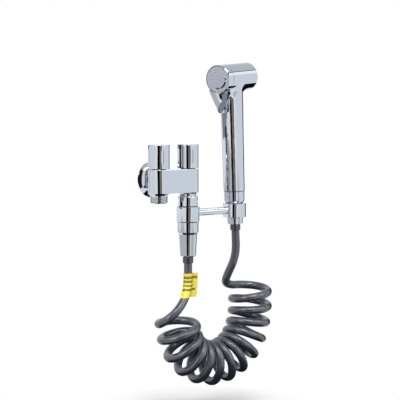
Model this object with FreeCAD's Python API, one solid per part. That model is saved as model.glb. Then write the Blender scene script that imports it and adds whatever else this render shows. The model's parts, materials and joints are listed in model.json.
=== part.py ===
import FreeCAD, Part
import math
import os

# Handheld bidet shower for a wall: a two-outlet angle valve, a clamped holder, a coiled hose
# and a T-headed handset that rests in the holder. Millimetres, +Z up, the wall is the plane
# y = 0 and the object stands on its -Y side. The origin is on the inlet's axis at the wall.

V = FreeCAD.Vector
UP = V(0, 0, 1)
os.makedirs("parts", exist_ok=True)

# Clearances
running_fit = 0.05
seal_fit = 0.04
loose_fit = 0.3

# Valve body
outlet_spacing = 45.4
body_radius = 13.4
body_top = 14.6
body_bottom = -14.6
body_edge = 0.8
inlet_reach = 43.0
boss_drop = 2.8
boss_narrowing = 2.5
outlet_thread_radius = 10.48
outlet_thread_length = 9.6
outlet_bore = 6.2
thread_chamfer = 0.8
gallery_bore = 4.5
inlet_boss_radius = 10.9
inlet_boss_end = -7.0
inlet_thread_length = 21.0
inlet_bore = 7.0

# Cartridges under the knobs
pocket_radius = 9.2
pocket_floor = -4.6
cartridge_wall = 1.9
window_width = 7.0
seat_seal_height = 1.6
ceramic_height = 2.5
ceramic_port_inner = 1.9
ceramic_port_outer = 5.4
spindle_radius = 4.0
spindle_foot_height = 2.2
hexagon_flats = 17.0
hexagon_height = 4.0
cartridge_neck_radius = 6.2
cartridge_neck_top = 21.0
spindle_square = 5.6
spindle_square_length = 9.0
circlip_height = 0.8

# Knobs
knob_gap = 0.9
knob_radius = 13.35
knob_height = 29.5
knob_wall = 2.0
knob_crown = 6.5
knob_edge = 1.0
knob_hub_radius = 6.6
marker_width = 3.4
marker_length = 17.0
marker_depth = 0.8
marker_bearing = -17.0
grub_screw_radius = 2.0

# Wall flange
flange_radius = 23.7
flange_height = 9.5
flange_lip = 1.6
flange_wall = 0.9

# Inlet strainer
strainer_depth = 6.0
strainer_length = 16.0
strainer_wall = 0.9
strainer_slots = 8
strainer_slot_width = 1.6

# Holder clamped under the spray outlet
adapter_radius = 12.4
adapter_gap = 1.6
adapter_height = 12.9
adapter_edge = 2.2
washer_height = 1.6
ring_washer_height = 0.8
clamp_ring_radius = 14.5
clamp_ring_height = 19.1
lower_washer_height = 0.7
arm_radius = 4.75
arm_spigot_radius = 3.0
arm_spigot_length = 1.2
arm_sink = 1.2
holder_spacing = 76.8
holder_radius = 14.8
holder_height = 18.1
holder_lift = 0.7
holder_bore = 12.0
holder_slot = 12.6
ring_edge = 0.5

# Conical hose connector under the valve
connector_radius = 13.35
connector_straight = 12.5
connector_shoulder = 2.5
connector_waist_radius = 11.6
connector_end_radius = 10.05
connector_cone = 27.9

# Hose and its end fittings
hose_diameter = 9.7
hose_bore = 3.4
ferrule_radius = 6.65
ferrule_grip = 0.05
ferrule_gap = 0.4
ferrule_showing = 8.2
tail_flange_radius = 9.6
tail_flange_height = 2.0
tail_neck_radius = 5.0
tail_bore = 2.6
barb_length = 16.0
coil_mean_radius = 23.7

# Handset, measured up from the lower end of its collar
handset_lean = 3.1
handset_bearing = 196.0
seat_drop = 0.5
collar_radius = 13.15
collar_height = 16.0
collar_chamfer_height = 4.1
collar_end_radius = 11.2
collar_lift = 0.3
collar_thread_length = 7.3
collar_bore = 5.0
collar_spigot_length = 7.0
groove_height = 0.9
groove_radius = 12.2
handle_foot_radius = 13.7
handle_waist_radius = 14.3
handle_waist_length = 22.0
handle_top_radius = 14.75
handle_top_drop = 39.2
handle_bore = 11.25
head_height = 161.2
head_droop = 1.85
head_wall = 2.4
head_radius = 18.05
head_rear = 35.7
head_front = 20.0
head_fillet = 16.0
head_edge = 1.0
hose_nut_top_radius = 11.6
hose_nut_mid_radius = 10.6
hose_nut_mid = 18.0
hose_nut_end_radius = 9.8
hose_nut_length = 26.0

# Nozzle, set in from the head's outer radius
spigot_setback = 1.45
nozzle_spigot_radius = head_radius - spigot_setback
nozzle_spigot_length = 6.2
nozzle_spigot_wall = 1.8
nozzle_gap = 0.3
bezel_front = 30.9
bezel_lip = 1.35
bezel_ledge = 1.5
disc_radius = head_radius - bezel_lip
bezel_shoulder = disc_radius - bezel_ledge
disc_thickness = 2.4
disc_sink = 0.4
nozzle_hole_radius = 0.4
nozzle_rings = 2
nozzle_ring_pitch = 5.2
nozzle_seal_radius = 1.0

# Stop valve in the neck, set out from the trigger's pivot
plunger_drop = 11.0
valve_core_radius = 11.2
valve_core_below = 18.5
valve_core_above = 18.7
tube_radius = 6.0
tube_bore = 4.2
rear_chamber_radius = 4.6
rear_chamber_end = -9.0
seat_hole_radius = 2.6
front_chamber_radius = 4.2
front_chamber_start = 1.5
gland_start = 6.0
gland_length = 3.8
riser_radius = 2.1
riser_forward = 3.8
stem_radius = 1.6
plunger_seal_radius = 3.8
plunger_seal_height = 1.6
plunger_head_height = 1.6
button_radius = 2.6
button_dome = 3.5
button_start = 14.0
button_tip = 18.0
spring_radius = 3.0
spring_wire = 0.3
spring_turns = 3

# Trigger, set out from its pivot under the head
pivot_forward = 18.0
pivot_drop = 21.7
pin_radius = 1.5
pin_length = 12.4
lug_radius = 3.8
lug_width = 12.0
tongue_width = 7.0
tongue_gap = 0.4
slot_rear = 12.6
trigger_tip_drop = 21.8
trigger_split_drop = 9.5
trigger_brow_rise = 8.0
trigger_wall = 4.0
trigger_tip_half_width = 4.8
trigger_brow_half_width = 15.2
trigger_tip_forward = 23.5
trigger_brow_forward = 29.4
trigger_valley_forward = 24.2
trigger_pocket_half_width = 3.8
trigger_pocket_depth = 2.4
trigger_corner = 1.2
trigger_clearance = 0.5

# Tag
tag_height = 27.5
tag_top = -118.1
tag_reach = 9.5
tag_thickness = 0.5

# Places worked out from the sizes above
left_x = -outlet_spacing / 2
right_x = outlet_spacing / 2
valve_y = -inlet_reach
boss_bottom = body_bottom - boss_drop
outlet_end = boss_bottom - outlet_thread_length
adapter_top = boss_bottom - adapter_gap
adapter_bottom = adapter_top - adapter_height
adapter_shoulder = outlet_end - washer_height
ring_top = adapter_bottom - ring_washer_height
ring_bottom = ring_top - clamp_ring_height
connector_top = ring_bottom - lower_washer_height
holder_x = right_x + holder_spacing
holder_top = ring_top + holder_lift
holder_bottom = holder_top - holder_height
arm_z = (holder_top + holder_bottom) / 2
stem_end = connector_top - connector_straight + 1.0
connector_waist = connector_top - connector_straight - connector_shoulder
connector_end = connector_waist - connector_cone
hose_radius = hose_diameter / 2
handle_top = head_height - handle_top_drop
handle_waist = handle_top - handle_waist_length
pivot_height = head_height - pivot_drop
plunger_height = pivot_height - plunger_drop
valve_core_bottom = plunger_height - valve_core_below
valve_core_top = plunger_height + valve_core_above
trigger_tip = pivot_height - trigger_tip_drop
trigger_split = pivot_height - trigger_split_drop
trigger_brow = pivot_height + trigger_brow_rise


# Solids of revolution about Z, from (radius, height) corners
def turned(corners, x=0.0, y=0.0):
    points = [V(r, 0, z) for r, z in corners]
    outline = Part.makePolygon(points + [points[0]])
    solid = Part.Face(outline).revolve(V(0, 0, 0), UP, 360)
    solid.translate(V(x, y, 0))
    return solid


def rod(radius, low, high, x=0.0, y=0.0):
    return Part.makeCylinder(radius, high - low, V(x, y, low))


def sleeve(outer, inner, low, high, x=0.0, y=0.0):
    return rod(outer, low, high, x, y).cut(rod(inner, low, high, x, y))


# A cylinder along +X, from one forward place to another
def crossrod(radius, start, end, y=0.0, z=0.0):
    return Part.makeCylinder(radius, end - start, V(start, y, z), V(1, 0, 0))


# A solid of revolution about the head's axis, from (radius, forward) corners
def turned_forward(corners):
    solid = turned(corners)
    solid.rotate(V(0, 0, 0), V(0, 1, 0), 90)
    solid.translate(V(0, 0, head_height))
    return droop(solid)


def block(x0, x1, y0, y1, z0, z1):
    return Part.makeBox(x1 - x0, y1 - y0, z1 - z0, V(x0, y0, z0))


# The edges of a solid that are circles of one radius at one height
def circles(solid, radius, z):
    found = []
    for edge in solid.Edges:
        if isinstance(edge.Curve, Part.Circle):
            same_size = abs(edge.Curve.Radius - radius) < 0.01
            if same_size and abs(edge.Curve.Center.z - z) < 0.01:
                found.append(edge)
    return found


def save(name, shape):
    solid = shape.removeSplitter() if shape.ShapeType == "Compound" else shape
    if len(solid.Solids) == 1:
        solid = solid.Solids[0]
    print(name, len(solid.Solids), "solid", "valid" if solid.isValid() else "NOT VALID")
    solid.exportStep("parts/" + name + ".step")


# Valve

def outlet(x):
    boss = turned([(0, body_bottom), (body_radius, body_bottom),
                   (body_radius - boss_narrowing, boss_bottom), (0, boss_bottom)], x, valve_y)
    thread = turned([(0, boss_bottom), (outlet_thread_radius, boss_bottom),
                     (outlet_thread_radius, outlet_end + thread_chamfer),
                     (outlet_thread_radius - thread_chamfer, outlet_end),
                     (0, outlet_end)], x, valve_y)
    return boss.fuse(thread)


def valve_body():
    body = block(left_x, right_x, valve_y - body_radius, valve_y + body_radius, body_bottom, body_top)
    for x in (left_x, right_x):
        body = body.fuse(rod(body_radius, body_bottom, body_top, x, valve_y))
    body = body.removeSplitter()
    rim = [e for e in body.Edges if all(abs(v.Z - body_top) < 0.01 for v in e.Vertexes)]
    body = body.makeFillet(body_edge, rim)
    back = valve_y
    inlet = Part.makeCylinder(inlet_boss_radius, inlet_boss_end - back, V(0, back, 0), V(0, 1, 0))
    thread = Part.makeCylinder(outlet_thread_radius, inlet_thread_length, V(0, inlet_boss_end, 0), V(0, 1, 0))
    tip = inlet_boss_end + inlet_thread_length
    nose = Part.makeCone(outlet_thread_radius, outlet_thread_radius - thread_chamfer, thread_chamfer,
                         V(0, tip, 0), V(0, 1, 0))
    body = body.fuse([inlet, thread, nose, outlet(left_x), outlet(right_x)]).removeSplitter()
    bore_length = tip + thread_chamfer - valve_y
    hollows = [Part.makeCylinder(inlet_bore, bore_length, V(0, valve_y, 0), V(0, 1, 0))]
    hollows.append(Part.makeCylinder(gallery_bore, outlet_spacing, V(left_x, valve_y, 0), V(1, 0, 0)))
    for x in (left_x, right_x):
        hollows.append(rod(pocket_radius, pocket_floor, body_top, x, valve_y))
        hollows.append(rod(outlet_bore, outlet_end, pocket_floor, x, valve_y))
    return body.cut(hollows)


def wall_flange():
    mid = flange_radius * 0.72
    outer = [V(flange_radius, 0, 0), V(flange_radius, 0, flange_lip)]
    crown = V(inlet_boss_radius + running_fit, 0, flange_height)
    dome = Part.Arc(outer[1], V(mid, 0, flange_height * 0.86), crown).toShape()
    inner_rim = V(flange_radius - flange_wall, 0, flange_lip)
    inner_crown = V(inlet_boss_radius + running_fit, 0, flange_height - flange_wall)
    under = Part.Arc(inner_crown, V(mid - flange_wall * 0.5, 0, flange_height * 0.86 - flange_wall * 1.1),
                     inner_rim).toShape()
    foot = V(flange_radius - flange_wall, 0, 0)
    edges = [Part.makeLine(outer[0], outer[1]), dome, Part.makeLine(crown, inner_crown), under,
             Part.makeLine(inner_rim, foot), Part.makeLine(foot, outer[0])]
    solid = Part.Face(Part.Wire(edges)).revolve(V(0, 0, 0), UP, 360)
    solid.rotate(V(0, 0, 0), V(1, 0, 0), 90)
    return solid


def inlet_strainer():
    tip = inlet_boss_end + inlet_thread_length + thread_chamfer
    outer = inlet_bore - running_fit
    basket = outer - 1.4
    rim = 2.0
    inside = basket - strainer_wall
    end = strainer_length - strainer_wall
    profile = [(outer, 0), (outer, rim), (basket, rim), (basket, strainer_length), (0, strainer_length),
               (0, end), (inside, end), (inside, 0)]
    solid = turned(profile)
    slots = []
    for i in range(strainer_slots):
        slot = block(0, inlet_bore, -strainer_slot_width / 2, strainer_slot_width / 2,
                     rim + 2.0, end - 1.5)
        slot.rotate(V(0, 0, 0), UP, 360.0 * i / strainer_slots)
        slots.append(slot)
    solid = solid.cut(slots)
    solid.rotate(V(0, 0, 0), V(1, 0, 0), 90)
    solid.translate(V(0, tip - strainer_depth, 0))
    return solid


# Cartridge: everything that sits under one knob, stacked up from the pocket's floor
seal_top = pocket_floor + seat_seal_height
fixed_top = seal_top + ceramic_height
turning_top = fixed_top + ceramic_height
foot_top = turning_top + spindle_foot_height
cartridge_bottom = pocket_floor + 0.4
cartridge_outer = pocket_radius - running_fit
chamber_radius = cartridge_outer - cartridge_wall
ceramic_radius = chamber_radius - running_fit
square_bottom = cartridge_neck_top + circlip_height + 1.4
square_top = square_bottom + spindle_square_length
knob_bottom = body_top + knob_gap
knob_top = knob_bottom + knob_height
hexagon_top = body_top + hexagon_height
groove_low = (foot_top + cartridge_neck_top) / 2


def hexagon(flats, low, high):
    radius = flats / math.sqrt(3)
    corners = [V(radius * math.cos(math.radians(60 * i)), radius * math.sin(math.radians(60 * i)), low)
               for i in range(6)]
    return Part.Face(Part.makePolygon(corners + [corners[0]])).extrude(V(0, 0, high - low))


def headwork(x):
    neck = rod(cartridge_neck_radius, hexagon_top, cartridge_neck_top)
    solid = rod(cartridge_outer, cartridge_bottom, body_top)
    solid = solid.fuse([hexagon(hexagon_flats, body_top, hexagon_top), neck])
    bore = rod(spindle_radius + running_fit, foot_top, cartridge_neck_top)
    chamber = rod(chamber_radius, cartridge_bottom, foot_top + running_fit)
    window = block(-pocket_radius, pocket_radius, -window_width / 2, window_width / 2,
                   fixed_top, foot_top)
    solid = solid.cut([bore, chamber, window])
    solid.translate(V(x, valve_y, 0))
    return solid


def ceramic_disc(x, low, start):
    solid = rod(ceramic_radius, low, low + ceramic_height)
    ports = []
    for turn in (0, 180):
        sector = Part.makeCylinder(ceramic_port_outer, ceramic_height, V(0, 0, low), UP, 80)
        sector = sector.cut(rod(ceramic_port_inner, low, low + ceramic_height))
        sector.rotate(V(0, 0, 0), UP, start + turn)
        ports.append(sector)
    solid = solid.cut(ports)
    solid.translate(V(x, valve_y, 0))
    return solid


def spindle(x):
    groove = 1.2
    profile = [(0, turning_top), (ceramic_radius - 0.4, turning_top), (ceramic_radius - 0.4, foot_top),
               (spindle_radius, foot_top), (spindle_radius, groove_low),
               (spindle_radius - groove, groove_low), (spindle_radius - groove, groove_low + 1.5),
               (spindle_radius, groove_low + 1.5), (spindle_radius, cartridge_neck_top),
               (spindle_radius - 0.6, cartridge_neck_top),
               (spindle_radius - 0.6, cartridge_neck_top + circlip_height),
               (spindle_radius, cartridge_neck_top + circlip_height), (spindle_radius, square_bottom),
               (0, square_bottom)]
    half = spindle_square / 2
    square = block(-half, half, -half, half, square_bottom, square_top)
    solid = turned(profile).fuse(square)
    solid.rotate(V(0, 0, 0), UP, marker_bearing)
    solid.translate(V(x, valve_y, 0))
    return solid


def spindle_seal(x):
    outer = spindle_radius + running_fit - 0.01
    return sleeve(outer, spindle_radius - 1.2, groove_low, groove_low + 1.5, x, valve_y)


def circlip(x):
    top = cartridge_neck_top + circlip_height
    solid = sleeve(cartridge_neck_radius - 0.3, spindle_radius - 0.6, cartridge_neck_top, top)
    mouth = block(0, cartridge_neck_radius, -2.2, 2.2, cartridge_neck_top, top)
    solid = solid.cut(mouth)
    solid.translate(V(x, valve_y, 0))
    return solid


def knob(x):
    cavity_top = knob_top - knob_crown
    solid = rod(knob_radius, knob_bottom, knob_top)
    solid = solid.makeFillet(knob_edge, circles(solid, knob_radius, knob_top))
    solid = solid.cut(rod(knob_radius - knob_wall, knob_bottom, cavity_top))
    hub_bottom = square_bottom + 0.4
    solid = solid.fuse(rod(knob_hub_radius, hub_bottom, cavity_top))
    half = spindle_square / 2 + running_fit
    socket = block(-half, half, -half, half, hub_bottom, square_top + loose_fit)
    middle = (knob_bottom + knob_top) / 2
    low = middle - marker_length / 2 + marker_width / 2
    high = middle + marker_length / 2 - marker_width / 2
    start = -knob_radius
    marker = block(-marker_width / 2, marker_width / 2, start, start + marker_depth, low, high)
    for z in (low, high):
        end = Part.makeCylinder(marker_width / 2, marker_depth, V(0, start, z), V(0, 1, 0))
        marker = marker.fuse(end)
    screw_z = square_bottom + spindle_square_length * 0.5
    access = Part.makeCylinder(grub_screw_radius + running_fit, knob_radius, V(0, 0, screw_z), V(0, 1, 0))
    solid = solid.cut([socket, marker, access])
    solid.rotate(V(0, 0, 0), UP, marker_bearing)
    solid.translate(V(x, valve_y, 0))
    return solid


def grub_screw(x):
    screw_z = square_bottom + spindle_square_length * 0.5
    start = spindle_square / 2 + 0.1
    length = knob_hub_radius - start + 1.2
    solid = Part.makeCylinder(grub_screw_radius, length, V(0, start, screw_z), V(0, 1, 0))
    key = Part.makeCylinder(grub_screw_radius * 0.5, 1.5, V(0, start + length - 1.5, screw_z), V(0, 1, 0))
    solid = solid.cut(key)
    solid.rotate(V(0, 0, 0), UP, marker_bearing)
    solid.translate(V(x, valve_y, 0))
    return solid


# Holder

def adapter():
    top = rod(adapter_radius, adapter_bottom, adapter_top, right_x, valve_y)
    top = top.makeFillet(adapter_edge, circles(top, adapter_radius, adapter_top))
    stem = turned([(0, adapter_bottom), (outlet_thread_radius, adapter_bottom),
                   (outlet_thread_radius, stem_end + thread_chamfer),
                   (outlet_thread_radius - thread_chamfer, stem_end), (0, stem_end)], right_x, valve_y)
    socket = rod(outlet_thread_radius + running_fit, adapter_shoulder, adapter_top, right_x, valve_y)
    bore = rod(outlet_bore, stem_end, adapter_shoulder, right_x, valve_y)
    return top.fuse(stem).cut([socket, bore])


def clamp_ring():
    inner = outlet_thread_radius + running_fit
    solid = sleeve(clamp_ring_radius, inner, ring_bottom, ring_top, right_x, valve_y)
    edges = circles(solid, clamp_ring_radius, ring_top) + circles(solid, clamp_ring_radius, ring_bottom)
    solid = solid.makeChamfer(ring_edge, edges)
    seat_x = right_x + clamp_ring_radius - arm_sink
    seat = Part.makeCylinder(arm_radius + running_fit, arm_sink, V(seat_x, valve_y, arm_z), V(1, 0, 0))
    hole = Part.makeCylinder(arm_spigot_radius + running_fit, arm_spigot_length + running_fit,
                             V(seat_x - arm_spigot_length - running_fit, valve_y, arm_z), V(1, 0, 0))
    return solid.cut([seat, hole])


def holder_arm():
    start = right_x + clamp_ring_radius - arm_sink
    end = holder_x - holder_radius + arm_sink
    arm = Part.makeCylinder(arm_radius, end - start, V(start, valve_y, arm_z), V(1, 0, 0))
    spigot = Part.makeCylinder(arm_spigot_radius, end - start + 2 * arm_spigot_length,
                               V(start - arm_spigot_length, valve_y, arm_z), V(1, 0, 0))
    return arm.fuse(spigot)


def holder_ring():
    solid = sleeve(holder_radius, holder_bore, holder_bottom, holder_top, holder_x, valve_y)
    mouth = block(holder_x, holder_x + holder_radius, valve_y - holder_slot / 2, valve_y + holder_slot / 2,
                  holder_bottom, holder_top)
    solid = solid.cut(mouth)
    uprights = []
    for edge in solid.Edges:
        ends = edge.Vertexes
        upright = len(ends) == 2 and abs(ends[0].X - ends[1].X) + abs(ends[0].Y - ends[1].Y) < 0.01
        if upright and ends[0].X > holder_x + holder_bore * 0.7:
            uprights.append(edge)
    solid = solid.makeFillet(0.8, uprights)
    edges = circles(solid, holder_radius, holder_top) + circles(solid, holder_radius, holder_bottom)
    solid = solid.makeChamfer(ring_edge, edges)
    seat_x = holder_x - holder_radius
    seat = Part.makeCylinder(arm_radius + running_fit, arm_sink, V(seat_x, valve_y, arm_z), V(1, 0, 0))
    hole = Part.makeCylinder(arm_spigot_radius + running_fit, arm_spigot_length + running_fit,
                             V(seat_x + arm_sink, valve_y, arm_z), V(1, 0, 0))
    return solid.cut([seat, hole])


# Hose fittings, the same at both ends, stacked down from where the thread ends

def hose_tail(top):
    flange_low = top - tail_flange_height
    neck_low = flange_low - 2.5
    barb_low = neck_low - barb_length
    profile = [(tail_bore, top), (tail_flange_radius, top), (tail_flange_radius, flange_low),
               (tail_neck_radius, flange_low), (tail_neck_radius, neck_low)]
    step = barb_length / 4
    for i in range(4):
        profile.append((hose_bore - 0.05, neck_low - i * step))
        profile.append((hose_bore - 0.45, neck_low - (i + 1) * step))
    profile.append((tail_bore, barb_low))
    return turned(profile), neck_low


def ferrule(neck_low, bottom):
    inner = hose_radius + ferrule_grip
    lip = 1.2
    throat = tail_neck_radius + 0.05
    profile = [(throat, neck_low + lip), (ferrule_radius, neck_low + lip), (ferrule_radius, bottom + 0.5),
               (ferrule_radius - 0.5, bottom), (inner, bottom), (inner, neck_low), (throat, neck_low)]
    return turned(profile)


def connector():
    inner = outlet_thread_radius + running_fit
    low = stem_end - washer_height - tail_flange_height
    throat = ferrule_radius + 0.25
    profile = [(inner, connector_top), (connector_radius, connector_top),
               (connector_radius, connector_top - connector_straight),
               (connector_waist_radius, connector_waist), (connector_end_radius, connector_end + 1.0),
               (connector_end_radius - 0.8, connector_end), (throat, connector_end), (throat, low - 1.5),
               (tail_neck_radius + 0.3, low - 0.05), (tail_flange_radius + 0.05, low - 0.05),
               (inner, stem_end - washer_height)]
    return turned(profile, right_x, valve_y)


# Handset parts are drawn upright about the handle's axis with the face looking along +X,
# then leaned and turned into the holder
def place(solid):
    solid.rotate(V(0, 0, 0), V(0, 1, 0), handset_lean)
    solid.rotate(V(0, 0, 0), UP, handset_bearing)
    solid.translate(V(holder_x, valve_y, holder_top - seat_drop))
    return solid


# The head leans a little further forward than square to the handle
def droop(solid):
    solid.rotate(V(0, 0, head_height), V(0, 1, 0), head_droop)
    return solid


def handle_collar():
    thread_end = collar_lift - collar_thread_length
    socket = tube_radius + running_fit
    profile = [(collar_bore, thread_end), (outlet_thread_radius - thread_chamfer, thread_end),
               (outlet_thread_radius, thread_end + thread_chamfer), (outlet_thread_radius, collar_lift),
               (collar_end_radius, collar_lift), (collar_radius, collar_lift + collar_chamfer_height),
               (collar_radius, collar_height), (groove_radius, collar_height),
               (groove_radius, collar_height + groove_height),
               (handle_bore - running_fit, collar_height + groove_height),
               (handle_bore - running_fit, collar_height + groove_height + collar_spigot_length),
               (socket, collar_height + groove_height + collar_spigot_length), (socket, collar_height - 6.0),
               (collar_bore, collar_height - 6.0)]
    return turned(profile)


# The outer form of handle and head blended together, or that form grown by a clearance
def handle_and_head(grow, front):
    foot = collar_height + groove_height
    top = handle_top_radius + grow
    handle = turned([(0, foot), (handle_foot_radius + grow, foot), (handle_waist_radius + grow, handle_waist),
                     (top, handle_top), (top, head_height), (0, head_height)])
    solid = droop(crossrod(head_radius + grow, -head_rear, front, 0, head_height)).fuse(handle)
    join = []
    for edge in solid.Edges:
        box = edge.BoundBox
        above = box.ZMin > head_height - head_radius - 3 and box.ZMax < head_height - 2
        around = box.XLength > 6 and max(box.XMax, -box.XMin) < top + 1
        if above and around:
            join.append(edge)
    return solid.makeFillet(head_fillet - grow, join)


def handset_shell():
    foot = collar_height + groove_height
    solid = handle_and_head(0, head_front)
    droop_back = V(-head_rear, 0, head_height)
    rim = [e for e in solid.Edges if isinstance(e.Curve, Part.Circle)
           and abs(e.Curve.Radius - head_radius) < 0.01 and e.Curve.Center.distanceToPoint(droop_back) < 3]
    solid = solid.makeFillet(head_edge, rim)
    spigot = crossrod(nozzle_spigot_radius, head_front, head_front + nozzle_spigot_length, 0, head_height)
    lug_y = lug_width / 2
    lug = Part.makeCylinder(lug_radius, lug_width, V(pivot_forward, -lug_y, pivot_height), V(0, 1, 0))
    heel = block(handle_top_radius - 4.0, pivot_forward, -lug_y, lug_y, pivot_height - lug_radius,
                 pivot_height + lug_radius + 1.5)
    solid = solid.fuse([droop(spigot), lug, heel])
    inner = nozzle_spigot_radius - nozzle_spigot_wall
    cavity = crossrod(inner, -head_rear + head_wall, head_front + nozzle_spigot_length, 0, head_height)
    bore = rod(handle_bore, foot, head_height)
    slot_y = tongue_width / 2 + tongue_gap
    slot = block(slot_rear, pivot_forward + 12.0, -slot_y, slot_y, plunger_height - 6.5,
                 pivot_height + lug_radius + 0.6)
    hole = crossrod(button_radius + 0.3, 0, handle_top_radius + 3.0, 0, plunger_height)
    pin = Part.makeCylinder(pin_radius, lug_width + 2, V(pivot_forward, -lug_y - 1, pivot_height), V(0, 1, 0))
    return solid.cut([droop(cavity), bore, slot, hole, pin])


def stop_valve_body():
    solid = rod(valve_core_radius, valve_core_bottom, valve_core_top)
    z = plunger_height
    front = block(valve_core_radius - 0.6, valve_core_radius, -valve_core_radius, valve_core_radius,
                  valve_core_bottom, valve_core_top)
    socket = rod(tube_radius + running_fit, valve_core_bottom, valve_core_bottom + 6.0)
    rear = crossrod(rear_chamber_radius, rear_chamber_end, 0, 0, z)
    seat = crossrod(seat_hole_radius, 0, front_chamber_start, 0, z)
    chamber = crossrod(front_chamber_radius, front_chamber_start, gland_start, 0, z)
    gland = crossrod(front_chamber_radius + 0.6, gland_start, valve_core_radius, 0, z)
    inlet = rod(2.6, valve_core_bottom + 6.0, z, -4.5)
    riser = rod(riser_radius, z, valve_core_top, riser_forward)
    return solid.cut([front, socket, rear, seat, chamber, gland, inlet, riser])


def gland_bush():
    outer = front_chamber_radius + 0.6 - running_fit
    end = gland_start + gland_length
    solid = crossrod(outer, gland_start, end, 0, plunger_height)
    return solid.cut(crossrod(stem_radius + seal_fit, gland_start, end, 0, plunger_height))


def plunger():
    z = plunger_height
    head_rear = -plunger_seal_height - plunger_head_height
    stem = crossrod(stem_radius, head_rear, button_start, 0, z)
    head = crossrod(plunger_seal_radius, head_rear, -plunger_seal_height, 0, z)
    button = crossrod(button_radius, button_start, button_tip, 0, z)
    dome = Part.makeSphere(button_dome, V(button_tip - button_dome, 0, z))
    button = button.common(dome)
    return stem.fuse([head, button])


def plunger_seal():
    solid = crossrod(plunger_seal_radius, -plunger_seal_height, 0, 0, plunger_height)
    return solid.cut(crossrod(stem_radius, -plunger_seal_height, 0, 0, plunger_height))


def plunger_spring():
    start = rear_chamber_end + spring_wire
    end = -plunger_seal_height - plunger_head_height - spring_wire
    pitch = (end - start) / spring_turns
    helix = Part.makeHelix(pitch, end - start, spring_radius)
    section = Part.Wire(Part.makeCircle(spring_wire, V(spring_radius, 0, 0), V(0, 1, 0)))
    solid = Part.Wire(helix.Edges).makePipeShell([section], True, True)
    solid.rotate(V(0, 0, 0), V(0, 1, 0), 90)
    solid.translate(V(start, 0, plunger_height))
    return solid


chamber_outer = nozzle_spigot_radius - nozzle_spigot_wall - running_fit
chamber_rear = -10.0
chamber_front = head_front + nozzle_spigot_length


def spray_chamber():
    solid = droop(crossrod(chamber_outer, chamber_rear, chamber_front, 0, head_height))
    hollow = droop(crossrod(chamber_outer - 1.8, chamber_rear + 1.8, chamber_front, 0, head_height))
    port = rod(riser_radius, valve_core_top, head_height, riser_forward)
    step = rod(valve_core_radius + running_fit, head_height - head_radius, valve_core_top)
    return solid.cut([hollow, port, step])


def nozzle_seal():
    radius = nozzle_seal_radius
    middle = bezel_shoulder - 1.4 - radius
    disc_back = bezel_front - disc_sink - disc_thickness
    return turned_forward([(middle - radius, chamber_front), (middle + radius, chamber_front),
                           (middle + radius, disc_back), (middle - radius, disc_back)])


def bezel_ring():
    rear = head_front + nozzle_gap
    fit = nozzle_spigot_radius + running_fit
    disc_back = bezel_front - disc_sink - disc_thickness
    shoulder = chamber_front + 0.3
    seat = disc_radius + running_fit
    profile = [(fit, rear), (head_radius - 0.3, rear), (head_radius, rear + 0.3),
               (head_radius, bezel_front - 0.7), (head_radius - 0.7, bezel_front), (seat, bezel_front),
               (seat, disc_back), (bezel_shoulder, disc_back), (bezel_shoulder, shoulder), (fit, shoulder)]
    return turned_forward(profile)


def spray_disc():
    front = bezel_front - disc_sink
    solid = crossrod(disc_radius, front - disc_thickness, front, 0, head_height)
    edge = [e for e in solid.Edges if isinstance(e.Curve, Part.Circle) and e.Curve.Center.x > front - 0.1]
    solid = solid.makeFillet(0.5, edge)
    holes = []
    for ring in range(nozzle_rings + 1):
        distance = ring * nozzle_ring_pitch
        count = max(1, 6 * ring)
        for i in range(count):
            angle = 2 * math.pi * i / count
            y = distance * math.cos(angle)
            z = distance * math.sin(angle)
            holes.append(crossrod(nozzle_hole_radius, front - disc_thickness, front, y, head_height + z))
    return droop(solid.cut(holes))


# The lever's outline at one height: a shallow valley between two forward edges
def trigger_section(z):
    share = (z - trigger_tip) / (trigger_brow - trigger_tip)
    half = trigger_tip_half_width + share * (trigger_brow_half_width - trigger_tip_half_width)
    edge = trigger_tip_forward + share * (trigger_brow_forward - trigger_tip_forward)
    middle = trigger_valley_forward
    corners = [V(edge, -half, z), V(middle, 0, z), V(edge, half, z), V(edge - trigger_wall, half - 0.6, z),
               V(middle - trigger_wall * 0.8, 0, z), V(edge - trigger_wall, 0.6 - half, z)]
    return Part.makePolygon(corners + [corners[0]])


def trigger():
    blade = Part.makeLoft([trigger_section(trigger_tip), trigger_section(trigger_brow)], True, True)
    tip_corners = []
    for edge in blade.Edges:
        ends = edge.Vertexes
        at_tip = all(abs(v.Z - trigger_tip) < 0.01 for v in ends)
        if at_tip and all(abs(v.Y) > 1 for v in ends):
            tip_corners.append(edge)
    blade = blade.makeFillet(trigger_corner, tip_corners)
    clear = handle_and_head(trigger_clearance, trigger_brow_forward + 5)
    pocket_top = head_height - head_radius + 2
    deep = trigger_valley_forward - trigger_pocket_depth
    pocket_corners = [V(deep, 0, trigger_split), V(deep, -trigger_pocket_half_width, pocket_top),
                      V(deep, trigger_pocket_half_width, pocket_top)]
    pocket = Part.Face(Part.makePolygon(pocket_corners + [pocket_corners[0]])).extrude(V(12, 0, 0))
    blade = blade.cut([clear, pocket])
    half = tongue_width / 2
    knuckle_radius = lug_radius - 0.6
    face = button_tip + loose_fit
    outline = [V(pivot_forward, -half, pivot_height - knuckle_radius), V(face, -half, plunger_height + 3.0),
               V(face, -half, plunger_height - 3.2), V(deep - 1.0, -half, plunger_height - 5.0),
               V(deep - 0.2, -half, pivot_height + 1.5), V(pivot_forward + 1.5, -half, pivot_height + 2.6)]
    tongue = Part.Face(Part.makePolygon(outline + [outline[0]])).extrude(V(0, tongue_width, 0))
    pivot = V(pivot_forward, -half, pivot_height)
    knuckle = Part.makeCylinder(knuckle_radius, tongue_width, pivot, V(0, 1, 0))
    solid = blade.fuse([tongue, knuckle])
    pin = Part.makeCylinder(pin_radius + running_fit, tongue_width, pivot, V(0, 1, 0))
    return solid.cut(pin)


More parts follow.
